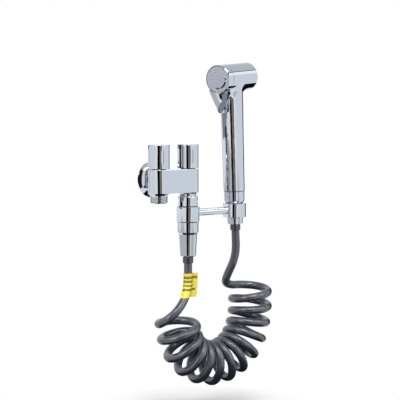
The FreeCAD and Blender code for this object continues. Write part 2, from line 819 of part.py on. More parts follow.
def trigger_pin():
    start = V(pivot_forward, -pin_length / 2, pivot_height)
    return Part.makeCylinder(pin_radius, pin_length, start, V(0, 1, 0))


def hose_nut():
    inner = outlet_thread_radius + running_fit
    thread_end = collar_lift - collar_thread_length
    low = thread_end - washer_height - tail_flange_height
    throat = ferrule_radius + 0.25
    profile = [(inner, -0.2), (hose_nut_top_radius, -0.2), (hose_nut_mid_radius, -hose_nut_mid),
               (hose_nut_end_radius, -hose_nut_length), (throat, -hose_nut_length), (throat, low - 1.5),
               (tail_neck_radius + 0.3, low - 0.05), (tail_flange_radius + 0.05, low - 0.05),
               (inner, thread_end)]
    return turned(profile)


# A round tube along a route of straight runs joined by tangent arcs, each arc as large as
# its two runs allow
def rounded_route(points):
    runs = [points[i + 1] - points[i] for i in range(len(points) - 1)]
    edges = []
    radii = []
    start = points[0]
    for i in range(1, len(points) - 1):
        turn = runs[i - 1].getAngle(runs[i])
        reach = 0.45 * min(runs[i - 1].Length, runs[i].Length)
        radii.append(reach / math.tan(turn / 2))
        into = V(runs[i - 1]).normalize()
        out = V(runs[i]).normalize()
        arc_start = points[i] - into * reach
        arc_end = points[i] + out * reach
        chord = (arc_start + arc_end) / 2
        to_corner = (points[i] - chord).normalize()
        sagitta = radii[-1] * (1 - math.cos(turn / 2))
        middle = chord + to_corner * sagitta
        edges.append(Part.LineSegment(start, arc_start).toShape())
        edges.append(Part.Arc(arc_start, middle, arc_end).toShape())
        start = arc_end
    edges.append(Part.LineSegment(start, points[-1]).toShape())
    return Part.Wire(edges), radii


def swept(points, radius, name):
    route, radii = rounded_route(points)
    direction = points[1] - points[0]
    section = Part.Wire(Part.makeCircle(radius, points[0], direction))
    tube = route.makePipeShell([section], True, False)
    expected = math.pi * radius * radius * route.Length
    print(name, "length %.1f" % route.Length, "radii", ["%.0f" % r for r in radii],
          "volume / (section x length) %.4f" % (tube.Volume / expected))
    return tube


# Where the hose starts at each end, inside its ferrule
connector_tail, connector_neck = hose_tail(stem_end - washer_height)
nut_tail, nut_neck = hose_tail(collar_lift - collar_thread_length - washer_height)
connector_ferrule_end = connector_end - ferrule_gap - ferrule_showing
nut_ferrule_end = -hose_nut_length - ferrule_gap - ferrule_showing


def placed_point(z):
    marker = Part.Vertex(V(0, 0, z))
    return place(marker).Point


hose_run = 8.0
valve_route = [V(right_x, valve_y, connector_neck), V(right_x, valve_y, connector_ferrule_end - hose_run),
                V(20, -46.5, -129), V(11, -52.5, -147), V(-6, -56.5, -162), V(-15.5, -56, -173)]
coil_route = [V(125.6, -43, -137.6), V(127, -43, -160.6), V(125, -43, -183.6), V(118.5, -43, -203.6),
              V(106, -43, -220.6), V(88, -43, -231.6), V(67, -43, -236.6), V(46, -43, -233.1),
              V(27.5, -43, -223.6), V(14, -43, -208.6), V(7, -43, -190.1), V(5, -43, -171.6)]
handset_route = [placed_point(nut_neck), placed_point(nut_ferrule_end - hose_run), V(103, -42, -92),
                 V(102, -39, -107), V(102, -32, -122.5), V(106.8, -28, -139.5)]
coil = swept(coil_route, coil_mean_radius + hose_radius, "hose_coil")


def hose_end(points, name):
    tube = swept(points, hose_radius, name)
    bore = Part.makeCylinder(hose_bore, barb_length + 0.5, points[0], points[1] - points[0])
    return tube.cut([bore, coil])


def hose_tag():
    low = tag_top - tag_height
    band = block(-hose_diameter, outlet_spacing, valve_y - outlet_spacing, valve_y + outlet_spacing,
                 low, tag_top)
    wrap = swept(valve_route, hose_radius + tag_thickness, "hose_tag")
    inside = swept(valve_route, hose_radius, "hose_tag")
    tag_end = right_x + hose_radius + tag_reach
    back = valve_y + tag_thickness / 2
    front = valve_y - tag_thickness / 2
    corners = [V(right_x, back, connector_neck), V(tag_end, back, connector_neck),
               V(tag_end, front, connector_neck), V(right_x, front, connector_neck)]
    section = Part.makePolygon(corners + [corners[0]])
    flag = rounded_route(valve_route)[0].makePipeShell([section], True, False)
    return wrap.fuse(flag).common(band).cut(inside)


def build():
    save("valve_body", valve_body())
    save("wall_flange", wall_flange())
    save("inlet_strainer", inlet_strainer())
    for name, x in (("cistern", left_x), ("spray", right_x)):
        save(name + "_headwork", headwork(x))
        save(name + "_seat_seal", sleeve(ceramic_radius, outlet_bore, pocket_floor, seal_top, x, valve_y))
        save(name + "_fixed_disc", ceramic_disc(x, seal_top, 5))
        save(name + "_turning_disc", ceramic_disc(x, fixed_top, 95))
        save(name + "_spindle", spindle(x))
        save(name + "_spindle_seal", spindle_seal(x))
        save(name + "_circlip", circlip(x))
        save(name + "_knob", knob(x))
        save(name + "_grub_screw", grub_screw(x))
    save("outlet_adapter", adapter())
    washer_radius = outlet_thread_radius - 0.1
    save("outlet_washer", sleeve(washer_radius, outlet_bore, adapter_shoulder, outlet_end, right_x, valve_y))
    inner = outlet_thread_radius + running_fit
    save("upper_ring_washer", sleeve(adapter_radius - 0.6, inner, ring_top, adapter_bottom, right_x, valve_y))
    save("clamp_ring", clamp_ring())
    lower_radius = connector_radius - 0.7
    save("lower_ring_washer", sleeve(lower_radius, inner, connector_top, ring_bottom, right_x, valve_y))
    save("holder_arm", holder_arm())
    save("holder_ring", holder_ring())
    save("hose_connector", connector())
    save("connector_washer", sleeve(tail_flange_radius, tail_neck_radius, stem_end - washer_height, stem_end,
                                    right_x, valve_y))
    connector_tail.translate(V(right_x, valve_y, 0))
    save("connector_tail", connector_tail)
    connector_ferrule = ferrule(connector_neck, connector_ferrule_end)
    connector_ferrule.translate(V(right_x, valve_y, 0))
    save("connector_ferrule", connector_ferrule)
    save("hose_valve_end", hose_end(valve_route, "hose_valve_end"))
    save("hose_coil", coil)
    save("hose_handset_end", hose_end(handset_route, "hose_handset_end"))
    save("hose_tag", hose_tag())
    save("handset_ferrule", place(ferrule(nut_neck, nut_ferrule_end)))
    save("handset_tail", place(nut_tail))
    thread_end = collar_lift - collar_thread_length
    washer_low = thread_end - washer_height
    save("handset_washer", place(sleeve(tail_flange_radius, tail_neck_radius, washer_low, thread_end)))
    save("handset_nut", place(hose_nut()))
    save("handle_collar", place(handle_collar()))
    save("handset_shell", place(handset_shell()))
    save("water_tube", place(sleeve(tube_radius, tube_bore, collar_height - 6.0, valve_core_bottom + 6.0)))
    save("stop_valve_body", place(stop_valve_body()))
    save("gland_bush", place(gland_bush()))
    save("plunger", place(plunger()))
    save("plunger_seal", place(plunger_seal()))
    save("plunger_spring", place(plunger_spring()))
    save("spray_chamber", place(spray_chamber()))
    save("nozzle_seal", place(nozzle_seal()))
    save("bezel_ring", place(bezel_ring()))
    save("spray_disc", place(spray_disc()))
    save("trigger", place(trigger()))
    save("trigger_pin", place(trigger_pin()))


build()
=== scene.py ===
import json
import math

import bpy
from mathutils import Euler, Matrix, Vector


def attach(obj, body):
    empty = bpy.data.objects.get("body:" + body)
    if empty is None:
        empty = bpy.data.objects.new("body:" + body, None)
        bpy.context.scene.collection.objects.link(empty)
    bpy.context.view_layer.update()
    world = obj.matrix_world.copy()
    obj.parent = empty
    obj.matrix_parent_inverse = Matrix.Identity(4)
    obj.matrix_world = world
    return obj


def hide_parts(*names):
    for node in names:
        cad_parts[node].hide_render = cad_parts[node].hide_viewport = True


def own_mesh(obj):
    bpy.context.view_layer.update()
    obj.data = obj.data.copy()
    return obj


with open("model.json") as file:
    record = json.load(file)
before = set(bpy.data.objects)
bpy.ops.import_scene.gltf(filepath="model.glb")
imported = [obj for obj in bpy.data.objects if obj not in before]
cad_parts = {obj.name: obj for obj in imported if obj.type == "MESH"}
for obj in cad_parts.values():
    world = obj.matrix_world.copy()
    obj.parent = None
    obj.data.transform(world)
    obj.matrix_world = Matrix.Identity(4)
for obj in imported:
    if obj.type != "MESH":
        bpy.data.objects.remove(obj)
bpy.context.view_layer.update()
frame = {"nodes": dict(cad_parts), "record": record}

# A handheld bidet shower on its wall valve: mirror chrome, a coiled grey hose and a yellow tag.
# Lengths are written in millimetres and turned to metres here.
MM = 0.001
# The free hose as thick as the photograph shows it, and as the ferrules pinch it
hose_diameter = 10.6
crimped_diameter = 9.7
coil_mean_radius = 23.7
outlet_axis = (-22.7, -43.0)
outlet_thread_top = -18.2
outlet_thread_end = -26.2
inlet_thread_start = 0.6
inlet_thread_end = 13.4
thread_radius = 10.48
thread_pitch = 1.814
thread_ridge = 0.578
head_centre = (91.12, -45.4, 128.46)
head_pitch = 4.95
head_bearing = 196.0
handset_foot = (99.5, -43.0, -32.5)
handset_lean = 3.1
groove_bottom = 16.0
groove_top = 16.9
groove_slack = 0.1
merge_distance = 0.002
edge_angle = 24


def metres(point):
    return Vector(point) * MM


# Camera
# Where the photographer stood: left of the wall valve, a little above it, far off with a long lens
camera_place = (-0.89498, -1.20015, 0.0785)
camera_turn = (86.0, 0.0, -39.0)
camera_lens = 106.56


def photo_camera():
    data = bpy.data.cameras.new("photo_camera")
    data.lens = camera_lens
    data.sensor_width = 36.0
    data.clip_start = 0.05
    camera = bpy.data.objects.new("photo_camera", data)
    camera.location = camera_place
    camera.rotation_euler = Euler([math.radians(a) for a in camera_turn])
    bpy.context.scene.collection.objects.link(camera)
    bpy.context.scene.camera = camera


photo_camera()

# Hose
# One length of sheathed hose: out of the valve's connector, round the coil and up to the handset.
# It is pinched under the crimp ferrule at each end.
valve_route = [(22.7, -43, -70.1), (22.7, -43, -112), (20, -46.5, -129), (11, -52.5, -147), (-6, -56.5, -162),
               (-17.5, -52, -171)]
coil_route = [(125.6, -43, -137.6), (127, -43, -160.6), (125, -43, -183.6), (118.5, -43, -203.6),
              (106, -43, -220.6), (88, -43, -231.6), (67, -43, -236.6), (46, -43, -233.1),
              (27.5, -43, -223.6), (14, -43, -208.6), (7, -43, -190.1), (5, -43, -171.6)]
handset_route = [(100.2, -42.8, -45.6), (101.7, -42.4, -75), (103, -42, -92), (102, -39, -107),
                 (100, -32, -121), (98.5, -26, -133.5), (104, -21, -139.5)]
coil_start_angle = 152.0
coil_end_angle = 255.0
coil_whole_turns = 12
points_per_turn = 16
coil_end_inset = 4.0


def nurbs_curve(name, points):
    curve = bpy.data.curves.new(name, "CURVE")
    curve.dimensions = "3D"
    spline = curve.splines.new("NURBS")
    spline.points.add(len(points) - 1)
    for control, point in zip(spline.points, points):
        control.co = (*metres(point), 1.0)
    spline.order_u = 3
    spline.use_endpoint_u = True
    curve.resolution_u = 8
    piece = bpy.data.objects.new(name, curve)
    bpy.context.scene.collection.objects.link(piece)
    return piece


# The points that a curve with no bevel runs through, in millimetres
def points_along(piece):
    bpy.context.view_layer.update()
    mesh = bpy.data.meshes.new_from_object(piece)
    points = [v.co / MM for v in mesh.vertices]
    bpy.data.meshes.remove(mesh)
    return points


def coil_turns():
    axis = nurbs_curve("coil_axis", coil_route)
    line = points_along(axis)
    bpy.data.objects.remove(axis)
    reach = [0.0]
    for a, b in zip(line, line[1:]):
        reach.append(reach[-1] + (b - a).length)
    total = reach[-1] - 2 * coil_end_inset
    sweep = coil_end_angle + 360.0 * coil_whole_turns - coil_start_angle
    count = int(sweep / 360.0 * points_per_turn)
    radius = coil_mean_radius / math.cos(math.pi / points_per_turn)
    front = Vector((0, -1, 0))
    turns = []
    segment = 0
    for i in range(count + 1):
        distance = coil_end_inset + total * i / count
        while segment < len(line) - 2 and reach[segment + 1] < distance:
            segment += 1
        along = (line[segment + 1] - line[segment]).normalized()
        centre = line[segment] + along * (distance - reach[segment])
        angle = math.radians(coil_start_angle + sweep * i / count)
        side = along.cross(front)
        turns.append(centre + radius * (math.cos(angle) * front + math.sin(angle) * side))
    return turns


def hose():
    route = list(valve_route) + [tuple(p) for p in reversed(coil_turns())] + list(reversed(handset_route))
    piece = nurbs_curve("hose", route)
    line = points_along(piece)
    controls = piece.data.splines[0].points
    for crimped in (controls[0], controls[-1]):
        crimped.radius = crimped_diameter / hose_diameter
    piece.data.bevel_depth = hose_diameter / 2 * MM
    piece.data.bevel_resolution = 5
    piece.data.use_fill_caps = True
    return piece, line


hose_piece, hose_line = hose()


# The yellow film tag is wrapped once round the hose, its two ends stuck together as a flag
tag_top = -116.6
tag_bottom = -145.6
tag_rows = 20
tag_reach = 15.6
tag_wrap_gap = 0.45
wrap_start = 12
wrap_steps = 24
flag_droop = 0.08
# From the flag's tip to the wrap: how far out a bend of the film lies, and its gap to the flag's middle
flag_tip_gap = 0.16
flag_bends = [(4.0, 0.2), (0.8, 0.4)]
# One unit of the film's map, in millimetres
film_unit = 40.0


# The hose's centre at a height on its way down from the valve, and the way it heads there
def hose_at(height):
    for a, b in zip(hose_line, hose_line[1:]):
        if b.z <= height <= a.z:
            return a.lerp(b, (a.z - height) / max(a.z - b.z, 1e-6)), (b - a).normalized()


def tag():
    radius = hose_diameter / 2 + tag_wrap_gap
    side = [(tag_reach, flag_tip_gap)] + [(radius + out, gap) for out, gap in flag_bends]
    outline = list(side)
    for step in range(wrap_steps + 1):
        angle = math.radians(wrap_start + step * (360 - 2 * wrap_start) / wrap_steps)
        outline.append((radius * math.cos(angle), radius * math.sin(angle)))
    outline += [(out, -gap) for out, gap in reversed(side)]
    across = [0.0]
    for (a, b), (c, d) in zip(outline, outline[1:]):
        across.append(across[-1] + math.hypot(c - a, d - b))
    verts = []
    drop = []
    for row in range(tag_rows + 1):
        height = tag_top + (tag_bottom - tag_top) * row / tag_rows
        centre, along = hose_at(height)
        slope = Vector((along.x, along.y, 0))
        drop.append(tag_top - height)
        for outward, forward in outline:
            offset = Vector((outward, -forward, 0))
            if slope.length > 0.01:
                lean = slope.normalized()
                offset += lean * offset.dot(lean) * (1 / abs(along.z) - 1)
            offset.z = -flag_droop * max(outward - radius, 0.0)
            verts.append(metres(centre + offset))
    width = len(outline)
    faces = []
    for i in range(tag_rows):
        for j in range(width - 1):
            faces.append((i * width + j, i * width + j + 1, (i + 1) * width + j + 1, (i + 1) * width + j))
    mesh = bpy.data.meshes.new("hose_tag_film")
    mesh.from_pydata(verts, [], faces)
    mesh.update()
    layer = mesh.uv_layers.new(name="film")
    for loop in mesh.loops:
        row = loop.vertex_index // width
        column = loop.vertex_index % width
        layer.data[loop.index].uv = (across[column] / film_unit, drop[row] / film_unit)
    piece = bpy.data.objects.new("hose_tag_film", mesh)
    bpy.context.scene.collection.objects.link(piece)
    for face in mesh.polygons:
        face.use_smooth = True
    return piece


tag_piece = tag()


# Operators act on whatever is selected, so each piece starts from an empty selection
def only(piece):
    if bpy.context.object and bpy.context.object.mode != "OBJECT":
        bpy.ops.object.mode_set(mode="OBJECT")
    bpy.ops.object.select_all(action="DESELECT")
    piece.select_set(True)
    bpy.context.view_layer.objects.active = piece


def settle(piece):
    only(piece)
    bpy.ops.object.transform_apply(location=True, rotation=True, scale=True)


# A pipe thread as one three-sided ridge wound up a cylinder
def thread(name, start, end, place, turn):
    turns = (end - start) / thread_pitch
    bpy.ops.object.select_all(action="DESELECT")
    bpy.ops.mesh.primitive_circle_add(vertices=3, radius=thread_ridge * MM,
                                      location=(thread_radius * MM, 0, 0), rotation=(math.radians(90), 0, 0))
    piece = bpy.context.object
    piece.name = name
    settle(piece)
    bpy.ops.object.mode_set(mode="EDIT")
    bpy.ops.mesh.select_all(action="SELECT")
    bpy.ops.transform.rotate(value=math.radians(90), orient_axis="Y",
                             center_override=(thread_radius * MM, 0, 0))
    bpy.ops.object.mode_set(mode="OBJECT")
    screw = piece.modifiers.new("winding", "SCREW")
    screw.axis = "Z"
    screw.screw_offset = thread_pitch * MM
    screw.iterations = int(turns)
    screw.steps = 48
    screw.render_steps = 48
    screw.use_normal_calculate = True
    bpy.ops.object.modifier_apply(modifier="winding")
    bpy.ops.object.mode_set(mode="EDIT")
    bpy.ops.mesh.select_all(action="SELECT")
    bpy.ops.mesh.normals_make_consistent(inside=False)
    bpy.ops.object.mode_set(mode="OBJECT")
    piece.location = metres(place)
    piece.rotation_euler = turn
    settle(piece)
    bpy.ops.object.shade_smooth_by_angle(angle=math.radians(35))
    return piece


outlet_thread = thread("cistern_outlet_thread", outlet_thread_end, outlet_thread_top,
                       (*outlet_axis, outlet_thread_end), (0, 0, 0))
inlet_thread = thread("wall_inlet_thread", inlet_thread_start, inlet_thread_end,
                      (0, inlet_thread_start, 0), (math.radians(-90), 0, 0))


# Materials
def linear(code):
    channels = [int(code[i:i + 2], 16) / 255.0 for i in (0, 2, 4)]
    return tuple(c / 12.92 if c <= 0.04045 else ((c + 0.055) / 1.055) ** 2.4 for c in channels) + (1.0,)


# Adds a node, sets it and its inputs, and links what comes from other nodes
def add(tree, kind, inputs=None, **settings):
    made = tree.nodes.new(kind)
    for key, value in settings.items():
        setattr(made, key, value)
    for key, value in (inputs or {}).items():
        if isinstance(value, bpy.types.NodeSocket):
            tree.links.new(value, made.inputs[key])
        else:
            made.inputs[key].default_value = value
    return made


def material(name, color, roughness, metallic=0.0):
    made = bpy.data.materials.new(name)
    made.use_nodes = True
    tree = made.node_tree
    shader = tree.nodes["Principled BSDF"]
    shader.inputs["Base Color"].default_value = linear(color)
    shader.inputs["Roughness"].default_value = roughness
    shader.inputs["Metallic"].default_value = metallic
    place = add(tree, "ShaderNodeTexCoord").outputs["Object"]
    return made, tree, shader, place


# The scale of a pattern whose marks are this many millimetres apart
def marks(size):
    return 1.0 / (size * MM)


# Chrome on polished brass: a blue-white mirror, a little wavy where the buffing wheel went
def polished_chrome():
    made, tree, shader, place = material("polished_chrome_on_brass", "CFD4DC", 0.04, 1.0)
    haze = add(tree, "ShaderNodeTexNoise", {"Vector": place, "Scale": marks(6.0), "Detail": 3.0})
    gloss = add(tree, "ShaderNodeMapRange", {"Value": haze.outputs["Fac"], "To Min": 0.02, "To Max": 0.06})
    waves = add(tree, "ShaderNodeTexNoise", {"Vector": place, "Scale": marks(22.0), "Detail": 0.0})
    bump = add(tree, "ShaderNodeBump", {"Height": waves.outputs["Fac"], "Distance": 0.05 * MM,
                                        "Strength": 1.0})
    tree.links.new(gloss.outputs["Result"], shader.inputs["Roughness"])
    tree.links.new(bump.outputs["Normal"], shader.inputs["Normal"])
    return made


# Chrome on moulded ABS: the same mirror with the slow sink marks of a moulding
def chromed_plastic():
    made, tree, shader, place = material("chromed_abs", "CFD4DC", 0.05, 1.0)
    haze = add(tree, "ShaderNodeTexNoise", {"Vector": place, "Scale": marks(4.0), "Detail": 3.0})
    gloss = add(tree, "ShaderNodeMapRange", {"Value": haze.outputs["Fac"], "To Min": 0.03, "To Max": 0.07})
    waves = add(tree, "ShaderNodeTexNoise", {"Vector": place, "Scale": marks(30.0), "Detail": 0.0})
    bump = add(tree, "ShaderNodeBump", {"Height": waves.outputs["Fac"], "Distance": 0.06 * MM,
                                        "Strength": 1.0})
    tree.links.new(gloss.outputs["Result"], shader.inputs["Roughness"])
    tree.links.new(bump.outputs["Normal"], shader.inputs["Normal"])
    return made


# Chrome left dull in the thread's flanks, where no wheel reaches
def dull_chrome():
    made, tree, shader, place = material("unbuffed_chrome_thread", "8E939C", 0.3, 1.0)
    grain = add(tree, "ShaderNodeTexNoise", {"Vector": place, "Scale": marks(0.8), "Detail": 2.0})
    gloss = add(tree, "ShaderNodeMapRange", {"Value": grain.outputs["Fac"], "To Min": 0.22, "To Max": 0.4})
    tree.links.new(gloss.outputs["Result"], shader.inputs["Roughness"])
    return made


# The narrow seam between handle and collar: ABS painted black at the bottom of its groove, as painted shade
def groove_shade_plastic():
    made, tree, shader, place = material("abs_painted_black_for_groove_shade", "0E0F11", 0.6)
    grain = add(tree, "ShaderNodeTexNoise", {"Vector": place, "Scale": marks(0.5), "Detail": 2.0})
    gloss = add(tree, "ShaderNodeMapRange", {"Value": grain.outputs["Fac"], "To Min": 0.5, "To Max": 0.7})
    tree.links.new(gloss.outputs["Result"], shader.inputs["Roughness"])
    return made


# Bare turned brass: warm yellow with the rings of the lathe tool. A wave's bands lie 0.31 of its scale
# apart, so these are 1.3 mm apart, coarser than a tool leaves them, so that they show.
def turned_brass():
    made, tree, shader, place = material("turned_brass", "C8A45C", 0.26, 1.0)
    rings = add(tree, "ShaderNodeTexWave", {"Vector": place, "Scale": marks(4.0), "Distortion": 0.3},
                bands_direction="Z")
    bump = add(tree, "ShaderNodeBump", {"Height": rings.outputs["Fac"], "Distance": 0.01 * MM,
                                        "Strength": 1.0})
    haze = add(tree, "ShaderNodeTexNoise", {"Vector": place, "Scale": marks(2.0), "Detail": 2.0})
    gloss = add(tree, "ShaderNodeMapRange", {"Value": haze.outputs["Fac"], "To Min": 0.2, "To Max": 0.34})
    tree.links.new(bump.outputs["Normal"], shader.inputs["Normal"])
    tree.links.new(gloss.outputs["Result"], shader.inputs["Roughness"])
    return made


# The cartridges' brass necks: dull brass painted near-black brown for the shade in the gap under each knob
def brass_in_painted_shade():
    made, tree, shader, place = material("brass_in_painted_shade", "2E2820", 0.5, 1.0)
    mottle = add(tree, "ShaderNodeTexNoise", {"Vector": place, "Scale": marks(3.0), "Detail": 3.0})
    shade = add(tree, "ShaderNodeMixRGB", {"Fac": mottle.outputs["Fac"], "Color1": linear("241F19"),
                                           "Color2": linear("3A3126")})
    tree.links.new(shade.outputs["Color"], shader.inputs["Base Color"])
    return made


# Lapped alumina: a white ceramic, satin from grinding
def alumina():
    made, tree, shader, place = material("lapped_alumina", "EDEBE2", 0.35)
    grit = add(tree, "ShaderNodeTexNoise", {"Vector": place, "Scale": marks(0.4), "Detail": 2.0})
    gloss = add(tree, "ShaderNodeMapRange", {"Value": grit.outputs["Fac"], "To Min": 0.28, "To Max": 0.42})
    tree.links.new(gloss.outputs["Result"], shader.inputs["Roughness"])
    return made


# Moulded nitrile rubber: matt black with a trace of grey bloom
def nitrile_rubber():
    made, tree, shader, place = material("moulded_nitrile_rubber", "1C1D1F", 0.65)
    bloom = add(tree, "ShaderNodeTexNoise", {"Vector": place, "Scale": marks(3.0), "Detail": 2.0})
    gloss = add(tree, "ShaderNodeMapRange", {"Value": bloom.outputs["Fac"], "To Min": 0.55, "To Max": 0.75})
    tree.links.new(gloss.outputs["Result"], shader.inputs["Roughness"])
    return made


# Pressed stainless steel: satin and darker than the chrome, with drawing lines along the axis
def drawn_stainless():
    made, tree, shader, place = material("drawn_stainless_steel", "626265", 0.3, 1.0)
    lines = add(tree, "ShaderNodeMapping", {"Vector": place, "Scale": (1.0, 1.0, 0.05)})
    streak = add(tree, "ShaderNodeTexNoise", {"Vector": lines.outputs["Vector"], "Scale": marks(0.6),
                                              "Detail": 2.0})
    gloss = add(tree, "ShaderNodeMapRange", {"Value": streak.outputs["Fac"], "To Min": 0.24, "To Max": 0.4})
    tree.links.new(gloss.outputs["Result"], shader.inputs["Roughness"])
    return made


# Extruded polyurethane: blue-grey with a strong soft gloss and a faint orange-peel skin.
# Its IOR is above the plastic's usual 1.5, matched to the photograph's bright highlights.
def hose_sheath():
    made, tree, shader, place = material("extruded_polyurethane_sheath", "2F3443", 0.3)
    shader.inputs["IOR"].default_value = 2.0
    cloud = add(tree, "ShaderNodeTexNoise", {"Vector": place, "Scale": marks(25.0), "Detail": 2.0})
    shade = add(tree, "ShaderNodeMixRGB", {"Fac": cloud.outputs["Fac"], "Color1": linear("2B303E"),
                                           "Color2": linear("353B4A")})
    peel = add(tree, "ShaderNodeTexNoise", {"Vector": place, "Scale": marks(1.2), "Detail": 1.0})
    bump = add(tree, "ShaderNodeBump", {"Height": peel.outputs["Fac"], "Distance": 0.004 * MM,
                                        "Strength": 1.0})
    tree.links.new(shade.outputs["Color"], shader.inputs["Base Color"])
    tree.links.new(bump.outputs["Normal"], shader.inputs["Normal"])
    return made


# Printed polyester film: clean yellow with plain dark bars, slightly shiny.
# Each bar has its middle down from the top, its height, and its start and end round the film.
tag_bars = [(5.2, 3.2, 0.8, 31.0), (9.9, 3.0, 9.0, 31.0), (14.8, 2.0, 7.5, 31.0), (19.6, 2.6, 3.4, 31.0)]


def tag_film():
    made, tree, shader, place = material("printed_yellow_film", "F0DC3C", 0.38)
    spot = add(tree, "ShaderNodeUVMap", uv_map="film").outputs["UV"]
    film = add(tree, "ShaderNodeSeparateXYZ", {"Vector": spot}).outputs
    worn = add(tree, "ShaderNodeTexNoise", {"Vector": place, "Scale": marks(1.6), "Detail": 2.0})
    ink = 0.0
    for middle, height, start, end in tag_bars:
        near = add(tree, "ShaderNodeMath", {0: film["Y"], 1: middle / film_unit, 2: height / 2 / film_unit},
                   operation="COMPARE")
        wide = add(tree, "ShaderNodeMath", {0: film["X"], 1: (start + end) / 2 / film_unit,
                                            2: (end - start) / 2 / film_unit}, operation="COMPARE")
        bar = add(tree, "ShaderNodeMath", {0: near.outputs[0], 1: wide.outputs[0]}, operation="MULTIPLY")
        ink = add(tree, "ShaderNodeMath", {0: ink, 1: bar.outputs[0]}, operation="MAXIMUM").outputs[0]
    cover = add(tree, "ShaderNodeMapRange", {"Value": worn.outputs["Fac"], "From Min": 0.3, "From Max": 0.7,
                                             "To Min": 0.6, "To Max": 1.0})
    print_share = add(tree, "ShaderNodeMath", {0: ink, 1: cover.outputs["Result"]}, operation="MULTIPLY")
    paint = add(tree, "ShaderNodeMixRGB", {"Fac": print_share.outputs[0], "Color1": linear("F0DC3C"),
                                           "Color2": linear("33270C")})
    crease = add(tree, "ShaderNodeTexNoise", {"Vector": place, "Scale": marks(5.0), "Detail": 2.0})
    bump = add(tree, "ShaderNodeBump", {"Height": crease.outputs["Fac"], "Distance": 0.05 * MM,
                                        "Strength": 1.0})
    tree.links.new(paint.outputs["Color"], shader.inputs["Base Color"])
    tree.links.new(bump.outputs["Normal"], shader.inputs["Normal"])
    return made


# Moulded grey plastic: a fine matt texture, printed with one tapered arc and small dots
print_radius = 11.6
arc_start = 17.0
arc_end = 72.0
arc_narrow = 0.6
arc_wide = 1.6
dots = [(-15.0, 0.9), (-5.0, 1.0), (5.0, 0.9), (90.0, 1.15)]


def disc_plastic():
    made, tree, shader, place = material("moulded_grey_plastic", "B0B0BC", 0.48)
    turned = (0.0, math.radians(head_pitch), math.radians(head_bearing))
    local = add(tree, "ShaderNodeMapping", {"Vector": place, "Location": metres(head_centre),
                                            "Rotation": turned}, vector_type="TEXTURE")
    part = add(tree, "ShaderNodeSeparateXYZ", {"Vector": local.outputs["Vector"]}).outputs
    flat = add(tree, "ShaderNodeCombineXYZ", {"Y": part["Y"], "Z": part["Z"]}).outputs["Vector"]
    radius = add(tree, "ShaderNodeVectorMath", {0: flat}, operation="LENGTH").outputs["Value"]
    down = add(tree, "ShaderNodeMath", {0: part["Z"], 1: -1.0}, operation="MULTIPLY").outputs[0]
    angle = add(tree, "ShaderNodeMath", {0: part["Y"], 1: down}, operation="ARCTAN2").outputs[0]
    half = add(tree, "ShaderNodeMapRange", {"Value": angle, "From Min": math.radians(arc_start),
                                            "From Max": math.radians(arc_end), "To Min": arc_narrow * MM,
                                            "To Max": arc_wide * MM}).outputs["Result"]
    ring = add(tree, "ShaderNodeMath", {0: radius, 1: print_radius * MM, 2: half}, operation="COMPARE")
    within = add(tree, "ShaderNodeMath", {0: angle, 1: math.radians((arc_start + arc_end) / 2),
                                          2: math.radians((arc_end - arc_start) / 2)}, operation="COMPARE")
    ink = add(tree, "ShaderNodeMath", {0: ring.outputs[0], 1: within.outputs[0]},
              operation="MULTIPLY").outputs[0]
    for bearing, size in dots:
        way = math.radians(bearing)
        dot = (0.0, print_radius * MM * math.sin(way), -print_radius * MM * math.cos(way))
        far = add(tree, "ShaderNodeVectorMath", {0: flat, 1: dot}, operation="DISTANCE").outputs["Value"]
        mark = add(tree, "ShaderNodeMath", {0: far, 1: size * MM}, operation="LESS_THAN").outputs[0]
        ink = add(tree, "ShaderNodeMath", {0: ink, 1: mark}, operation="MAXIMUM").outputs[0]
    paint = add(tree, "ShaderNodeMixRGB", {"Fac": ink, "Color1": linear("B0B0BC"),
                                           "Color2": linear("0E0E14")})
    grain = add(tree, "ShaderNodeTexNoise", {"Vector": place, "Scale": marks(0.7), "Detail": 2.0})
    bump = add(tree, "ShaderNodeBump", {"Height": grain.outputs["Fac"], "Distance": 0.0015 * MM,
                                        "Strength": 1.0})
    tree.links.new(paint.outputs["Color"], shader.inputs["Base Color"])
    tree.links.new(bump.outputs["Normal"], shader.inputs["Normal"])
    return made


# Natural acetal: milky white and waxy
def acetal():
    made, tree, shader, place = material("natural_acetal", "E4E4DE", 0.4)
    cloud = add(tree, "ShaderNodeTexNoise", {"Vector": place, "Scale": marks(4.0), "Detail": 2.0})
    gloss = add(tree, "ShaderNodeMapRange", {"Value": cloud.outputs["Fac"], "To Min": 0.34, "To Max": 0.46})
    tree.links.new(gloss.outputs["Result"], shader.inputs["Roughness"])
    return made


finishes = {
    "polished_chrome": polished_chrome(),
    "chromed_plastic": chromed_plastic(),
    "turned_brass": turned_brass(),
    "alumina_ceramic": alumina(),
    "black_rubber": nitrile_rubber(),
    "stainless_steel": drawn_stainless(),
    "hose_sheath": hose_sheath(),
    "yellow_tag": tag_film(),
    "grey_disc_plastic": disc_plastic(),
    "inner_plastic": acetal(),
}
thread_finish = dull_chrome()
neck_shade_finish = brass_in_painted_shade()
groove_shade_finish = groove_shade_plastic()


def dress(piece, finish):
    piece.data.materials.clear()
    piece.data.materials.append(finish)


cord_nodes = ("hose_valve_end", "hose_coil", "hose_handset_end", "hose_tag")


def body_of(node):
    for body, members in frame["record"]["behaviour"]["bodies"].items():
        if node in members:
            return body


# The collar's groove is the faces between its shoulder and the shell, by height along the leaning handle
# These faces are painted black as the groove's shade
def darken_groove(piece):
    piece.data.materials.append(groove_shade_finish)
    lean, bearing = math.radians(handset_lean), math.radians(head_bearing)
    axis = Vector((math.sin(lean) * math.cos(bearing), math.sin(lean) * math.sin(bearing), math.cos(lean)))
    for face in piece.data.polygons:
        heights = [(piece.data.vertices[v].co / MM - Vector(handset_foot)).dot(axis) for v in face.vertices]
        if min(heights) > groove_bottom - groove_slack and max(heights) < groove_top + groove_slack:
            face.material_index = 1
